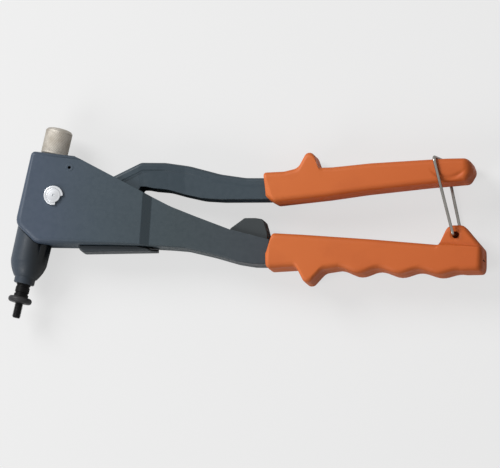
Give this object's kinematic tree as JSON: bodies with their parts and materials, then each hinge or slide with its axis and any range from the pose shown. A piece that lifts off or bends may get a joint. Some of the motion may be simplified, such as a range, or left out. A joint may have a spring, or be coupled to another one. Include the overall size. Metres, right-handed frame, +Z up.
{
  "type": "hand rivet nut tool",
  "caption": "Closed two-handled hand tool that pulls threaded rivet nuts, with a nose at right angles to its handles, a knob that turns the mandrel and a wire bail on the grips.",
  "frame": {"origin": "on the lever's pivot axis, on the flat outer face of the lower pivot stud's head, on which the tool lies", "axes": "+X along the handles from the head towards the grips, +Y from the nose towards the knob, +Z up along the pivot axis, out of the tool's side"},
  "size_m": [0.2706, 0.1083, 0.0296],
  "materials": {
    "body_paint": "semi-gloss grey-blue enamel",
    "bright_steel": "bright drawn steel",
    "grip": "soft vinyl, slightly worn",
    "bumper": "moulded",
    "plated_steel": "knurled and plated",
    "lever_paint": "semi-gloss grey-blue enamel",
    "black_steel": "black oxide",
    "zinc": "bright zinc plate",
    "bush_brass": "turned"
  },
  "bodies": {
    "body": {"body_shell": "body_paint", "belly_cover": "body_paint", "nose_housing": "body_paint", "nosepiece": "black_steel", "spindle_bush": "bush_brass", "knob_washer": "bright_steel", "pivot_stud_upper": "zinc", "pivot_stud_lower": "zinc", "stop_pin": "bright_steel", "handle_stop": "bumper", "fixed_grip": "grip", "return_spring": "bright_steel"},
    "lever": {"lever_handle": "lever_paint", "drive_pin_upper": "bright_steel", "drive_pin_lower": "bright_steel", "lever_grip": "grip"},
    "sleeve": {"draw_sleeve": "bright_steel", "sleeve_cap": "bright_steel"},
    "mandrel": {"mandrel": "black_steel"},
    "knob": {"knob": "plated_steel", "spindle": "bright_steel", "spindle_clip": "bright_steel", "knob_pin": "bright_steel"},
    "bail": {"wire_bail": "bright_steel"}
  },
  "joints": [
    {"name": "lever_swing", "type": "hinge", "parent": "body", "child": "lever", "pos_m": [0, 0, 0.0148], "axis": [0, 0, 1], "range_deg": [-4.4, 44]},
    {"name": "sleeve_pull", "type": "slide", "parent": "body", "child": "sleeve", "axis": [0.2284, 0.9736, 0], "range_m": [-0.0056, 0.0006], "deforming": ["return_spring"]},
    {"name": "knob_spin", "type": "hinge", "parent": "body", "child": "knob", "pos_m": [-0.02107, -0.05741, 0.0148], "axis": [0.2284, 0.9736, 0], "continuous": true},
    {"name": "mandrel_spin", "type": "hinge", "parent": "sleeve", "child": "mandrel", "pos_m": [-0.02107, -0.05741, 0.0148], "axis": [0.2284, 0.9736, 0], "continuous": true},
    {"name": "bail_swing", "type": "hinge", "parent": "body", "child": "bail", "pos_m": [0.2275, -0.0258, 0.0148], "axis": [0, 0, -1], "range_deg": [0, 235]}
  ],
  "couplings": [
    {"joint": "sleeve_pull", "follows": "lever_swing", "m_per_rad": -0.007182},
    {"joint": "mandrel_spin", "follows": "knob_spin", "ratio": 1}
  ]
}
